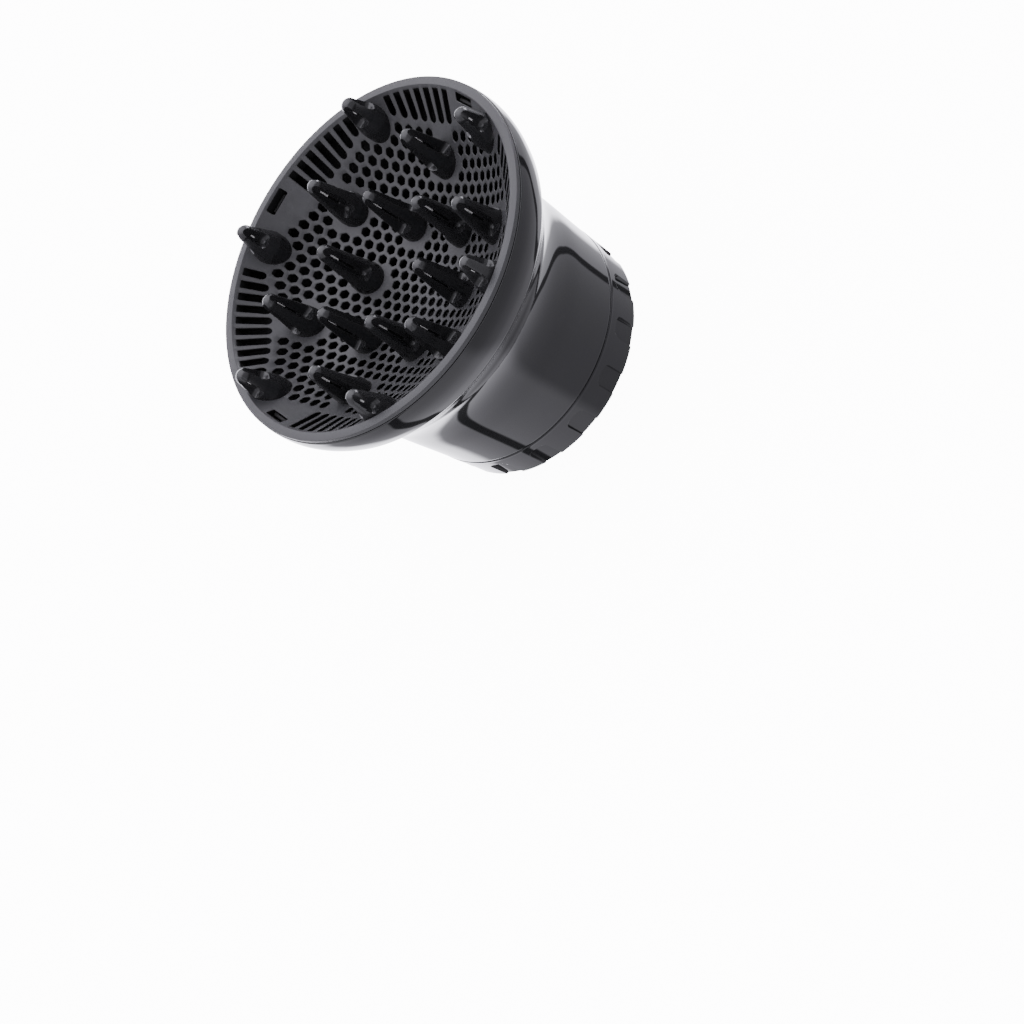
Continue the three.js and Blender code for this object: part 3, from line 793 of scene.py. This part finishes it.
def spaced(*stretches):
    """Values along several stretches, each of them (first, last, count)."""
    return np.concatenate([np.linspace(*stretch) for stretch in stretches])


def collar_angles():
    """Angles round the ring in degrees, closer together beside each recess's walls."""
    half = math.degrees(RECESS["width"] / 2 / COLLAR["rear"])
    step = 360 / RECESS["count"]
    middle, corner = (0.4, half - 3.4, 3), (half - 3.1, half - 1.25, 8)
    wall, pad = (half - 1.1, half + 0.5, 15), (half + 0.9, step / 2 - 0.4, 4)
    side = spaced(middle, corner, wall, pad)
    sector = np.concatenate([-side[::-1], side])
    return np.concatenate([sector + RECESS["start"] + k * step for k in range(RECESS["count"])])


def collar_outside():
    """The ring's outside from rear to front, closer together at the recesses' round ends."""
    slope = (COLLAR["front"] - COLLAR["rear"]) / COLLAR_LENGTH
    heights = spaced((1, 9, 9), (9.6, 12.0, 9), (12.1, 13.3, 13), (13.8, 16.6, 5))
    rear = [(COLLAR["rear"] + across, along) for across, along in REAR_ROUNDING]
    front = [(COLLAR["front"] + across, COLLAR_LENGTH + along) for across, along in FRONT_ROUNDING]
    return rear + [(COLLAR["rear"] + slope * z, z) for z in heights] + front


def collar_inside():
    """The ring's inside from front to rear: its bore, the snap ring's groove and the mouth."""
    corners = [
        (COLLAR["bore"], COLLAR_LENGTH, 0.3),
        (COLLAR["bore"], NECK["high"], 0),
        (COLLAR["groove"], NECK["high"], 0),
        (COLLAR["groove"], NECK["low"], 0),
        (COLLAR["bore"], NECK["low"], 0),
        (COLLAR["bore"], COLLAR["floor"], 0),
        (COLLAR["mouth"], COLLAR["floor"], 0.35),
        (COLLAR["mouth"], 0, 0.6),
        (COLLAR["mouth"] + 1.5, 0, 0),
    ]
    return fillet(corners, 0.2, 3)


def grip_ring():
    """The turning ring: a lathed profile whose outside is pushed in at each recess."""
    profile = np.vstack([collar_outside(), collar_inside()])
    degrees = collar_angles()
    turn = np.radians(degrees)
    step = 360 / RECESS["count"]
    aside = np.radians((degrees - RECESS["start"] + step / 2) % step - step / 2) * COLLAR["rear"]
    radius, height = profile[:, 0:1], profile[:, 1:2]
    depth = recess_depth(aside[None, :], height)
    outer = radius > COLLAR["groove"] + 0.1
    radius = radius - depth * np.maximum(radius - RECESS["floor"], 0) * outer
    points = np.stack([radius * np.cos(turn), radius * np.sin(turn), height + 0 * turn], -1)
    part = points.reshape(-1, 3), ring_faces(len(profile), len(turn), True)
    mesh = shaped_mesh("grip_ring_visual", part, 40)
    piece("grip_ring_visual", mesh, "gloss_black", "collar", ["grip_ring"])


# ---- Nozzle stop, seal, jaws and pads ----------------------------------------------------------------


def nozzle_stop():
    """The round ledge that the end of the dryer's barrel comes up to."""
    low, high = low_corner("nozzle_stop")[2], high_corner("nozzle_stop")[2]
    inner, outer = STOP["inner"], STOP["outer"]
    profile = fillet([(inner, low), (outer, low), (outer, high), (inner, high)], 0.6, 4)
    mesh = shaped_mesh("nozzle_stop_visual", lathe(profile, SMALL_ROUND))
    piece("nozzle_stop_visual", mesh, "nylon_black", "shell", ["nozzle_stop"])


def stop_seal():
    """A rubber washer with two shallow rings on the face that a nozzle's end lies on."""
    low, high = low_corner("stop_seal")[2], high_corner("stop_seal")[2]
    corners = [(SEAL["outer"], low, 0.4), (SEAL["outer"], high, 0.2), (SEAL["inner"], high, 0.2)]
    corners.append((SEAL["inner"], low, 0.5))
    for middle in SEAL["rings"]:
        for radius, lift in ((-1.1, 0), (-0.7, 1), (0.7, 1), (1.1, 0)):
            corners.append((middle + radius, low + lift * SEAL["groove"], 0.2))
    mesh = shaped_mesh("stop_seal_visual", lathe(fillet(corners, 0.2, 3), SMALL_ROUND))
    piece("stop_seal_visual", mesh, "rubber_black", "shell", ["stop_seal"])


def strip(inner, outer, width, steps=14):
    """A curved strip between two radii, its corners on lines half a width each side."""
    half = width / 2
    far = np.linspace(-math.asin(half / outer), math.asin(half / outer), steps)
    near = np.linspace(math.asin(half / inner), -math.asin(half / inner), steps)
    outline = [(outer * math.cos(a), outer * math.sin(a)) for a in far]
    outline += [(inner * math.cos(a), inner * math.sin(a)) for a in near]
    return fillet(outline, 0.5, 3)


def jaw_part():
    """A jaw: an upright curved wall, a foot that slides in its channel and a pin under it."""
    low, high = low_corner("jaw_1")[2], high_corner("jaw_1")[2]
    foot_low = low_corner("guide_plate")[2] - 0.1
    inner = JAW_REACH + PAD["thickness"] + GAP
    half = JAW["width"] / 2
    wall = prism(strip(inner, inner + JAW["wall"], JAW["width"]), foot_low, high, 0.5)
    outer = JAW_REACH + JAW["length"]
    corners = [(inner + 1, -half), (outer, -half), (outer, half), (inner + 1, half)]
    foot = prism(fillet(corners, 0.8, 4), foot_low, JAW["foot"], 0.4)
    pin = prism(circle(PIN["radius"], 28, (JAW_REACH + PIN["offset"], 0)), low, foot_low + 1, 0.3)
    return joined(wall, foot, pin)


def pad_part():
    """A rubber pad with upright ribs on the face that grips the dryer."""
    low, high = low_corner("jaw_pad_1")[2], high_corner("jaw_pad_1")[2]
    back = JAW_REACH + PAD["thickness"]
    half = PAD["width"] / 2
    reach = math.asin(half / back)
    outline = [(back * math.cos(a), back * math.sin(a)) for a in np.linspace(-reach, reach, 14)]
    side = np.linspace(half - 0.4, -half + 0.4, 121)
    wave = 0.5 - 0.5 * np.cos(2 * math.pi * (side + half) / (PAD["width"] / (2 * PAD["ribs"])))
    face = JAW_REACH + PAD["rib"] * smooth(1.6 * wave - 0.3)
    near = np.sqrt(face**2 - side**2)
    outline += list(zip(near, side))
    return prism(np.array(outline), low, high, 0.35)


def jaws():
    """Six jaws with their rubber pads, each on its own sliding body."""
    jaw = shaped_mesh("jaw_mesh", jaw_part())
    pad = shaped_mesh("jaw_pad_mesh", pad_part())
    for k in range(1, JAW_COUNT + 1):
        degrees = (k - 1) * 360 / JAW_COUNT
        piece(f"jaw_{k}_visual", jaw, "nylon_black", f"jaw_{k}", [f"jaw_{k}"], degrees)
        piece(f"jaw_pad_{k}_visual", pad, "rubber_black", f"jaw_{k}", [f"jaw_pad_{k}"], degrees)


def carried_nodes():
    """CAD nodes that stay, with better materials and softened edges: nearly all of each is hidden."""
    finishes = {"guide_plate": "nylon_black", "cam_ring": "nylon_black", "snap_ring": "spring_steel"}
    finishes.update({name: "zinc_steel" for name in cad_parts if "screw" in name})
    for name, finish in finishes.items():
        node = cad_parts[name]
        node.data.materials.clear()
        node.data.materials.append(FINISHES[finish])
        bevel = node.modifiers.new("soft_edges", "BEVEL")
        bevel.width = EDGE_SOFTENING * MM
        bevel.segments = 2
        bevel.limit_method = "ANGLE"
        bevel.angle_limit = math.radians(40)


# ---- Floor, light and camera -------------------------------------------------------------------------

FLOOR = {"half": 6, "paint": (0.9, 0.9, 0.9, 1), "roughness": 0.9, "glow": 12}  # half its side in metres


def floor():
    """A pale floor that the camera sees but that lights nothing and isn't mirrored."""
    half = FLOOR["half"]
    corners = [(-half, -half, 0), (half, -half, 0), (half, half, 0), (-half, half, 0)]
    mesh = bpy.data.meshes.new("floor")
    mesh.from_pydata(corners, [], [(0, 1, 2, 3)])
    material = bpy.data.materials.new("floor_paint")
    material.use_nodes = True
    _, shader, _ = node_kit(material)
    shader.inputs["Base Color"].default_value = FLOOR["paint"]
    shader.inputs["Roughness"].default_value = FLOOR["roughness"]
    shader.inputs["Emission Color"].default_value = (1, 1, 1, 1)
    shader.inputs["Emission Strength"].default_value = FLOOR["glow"]
    mesh.materials.append(material)
    obj = bpy.data.objects.new("floor", mesh)
    bpy.context.scene.collection.objects.link(obj)
    obj.visible_glossy = False
    obj.visible_diffuse = False


# The studio: light as directions in the frame, each with the cosines between which it grows or fades.
PANEL = {
    "sides": ((-0.066, -0.946, -0.318), (-0.175, -0.963, -0.204), (0.512, -0.775, -0.370)),
    "corner": (0.135, -0.985, -0.109),
    "soft": 0.012,
    "split": (0.974, -0.224, -0.040),
    "split_edges": (-0.1, 0.06),
    "dull": 0.62,
    "bright": 1.25,
}
GAP_WIDTH = 0.08  # of the dark gap round the panel
GAP_LIGHT = 0.12
BACKDROP = {"side": (-0.115, 0.876, -0.468), "edges": (0.74, 0.84), "strengths": (1.0, 5.5)}
KEY = {"side": (0.206, 0.330, 0.921), "edges": (0.5, 0.98), "strengths": (0, 2.2)}
LAMP = {"side": (0.944, 0.330, 0.010), "edges": (0.97, 0.99), "strengths": (0, 14)}
LIGHT_TINT = (0.98, 0.965, 1.055, 1)
CAMERA = {
    "place": (12.0, -992.0, 889.7),
    "right": (0.5114, -0.5646, -0.6478),
    "up": (0.8574, 0.3857, 0.3408),
    "lens": 106.2,
    "sensor": 36,
    "nearest": 0.05,  # in metres
}


def camera():
    """The camera, placed by its own right and up directions."""
    right, up = Vector(CAMERA["right"]).normalized(), Vector(CAMERA["up"]).normalized()
    back = right.cross(up)
    data = bpy.data.cameras.new("camera")
    data.lens = CAMERA["lens"]
    data.sensor_width = CAMERA["sensor"]
    data.clip_start = CAMERA["nearest"]
    obj = bpy.data.objects.new("camera", data)
    bpy.context.scene.collection.objects.link(obj)
    axes = Matrix((right, up, back)).transposed().to_4x4()
    obj.matrix_world = Matrix.Translation(Vector(CAMERA["place"]) * MM) @ axes
    bpy.context.scene.camera = obj


def world_kit(tree):
    """Makers of a world's nodes: a direction's cosine, a soft step, and a sum or product of two values."""
    direction = tree.nodes.new("ShaderNodeTexCoord").outputs["Generated"]

    def along(vector):
        dot = tree.nodes.new("ShaderNodeVectorMath")
        dot.operation = "DOT_PRODUCT"
        tree.links.new(direction, dot.inputs[0])
        dot.inputs[1].default_value = Vector(vector).normalized()
        return dot.outputs["Value"]

    def ramp(value, edges, levels):
        node = tree.nodes.new("ShaderNodeMapRange")
        node.interpolation_type = "SMOOTHSTEP"
        tree.links.new(value, node.inputs["Value"])
        for name, number in zip(("From Min", "From Max", "To Min", "To Max"), (*edges, *levels)):
            node.inputs[name].default_value = number
        return node.outputs["Result"]

    def combine(operation, a, b):
        node = tree.nodes.new("ShaderNodeMath")
        node.operation = operation
        for socket, value in zip(node.inputs, (a, b)):
            if isinstance(value, bpy.types.NodeSocket):
                tree.links.new(value, socket)
            else:
                socket.default_value = value
        return node.outputs["Value"]

    return along, ramp, combine


def studio_light():
    """A bright backdrop behind the object and a large, duller panel beside it, with a dark gap round it."""
    world = bpy.data.worlds.new("studio")
    bpy.context.scene.world = world
    world.use_nodes = True
    tree = world.node_tree
    along, ramp, combine = world_kit(tree)
    soft = PANEL["soft"]
    top, rear, foot = map(along, PANEL["sides"])
    rear = combine("MAXIMUM", rear, along(PANEL["corner"]))
    depth = combine("MINIMUM", combine("MINIMUM", top, rear), foot)
    panel = ramp(depth, (-soft, soft), (0, 1))
    glow = ramp(along(PANEL["split"]), PANEL["split_edges"], (PANEL["bright"], PANEL["dull"]))
    outside = ramp(depth, (-GAP_WIDTH - 2 * soft, -GAP_WIDTH), (1, 0))
    backdrop, key, lamp = (ramp(along(x["side"]), x["edges"], x["strengths"]) for x in (BACKDROP, KEY, LAMP))
    beyond = combine("MULTIPLY", outside, combine("ADD", backdrop, combine("ADD", key, lamp)))
    total = combine("ADD", combine("ADD", combine("MULTIPLY", panel, glow), beyond), GAP_LIGHT)
    background = tree.nodes["Background"]
    background.inputs["Color"].default_value = LIGHT_TINT
    tree.links.new(total, background.inputs["Strength"])


outer_shell()
shell_bosses()
shell_hooks()
bowl_plate()
fingers()
grip_ring()
nozzle_stop()
stop_seal()
jaws()
carried_nodes()
floor()
studio_light()
camera()
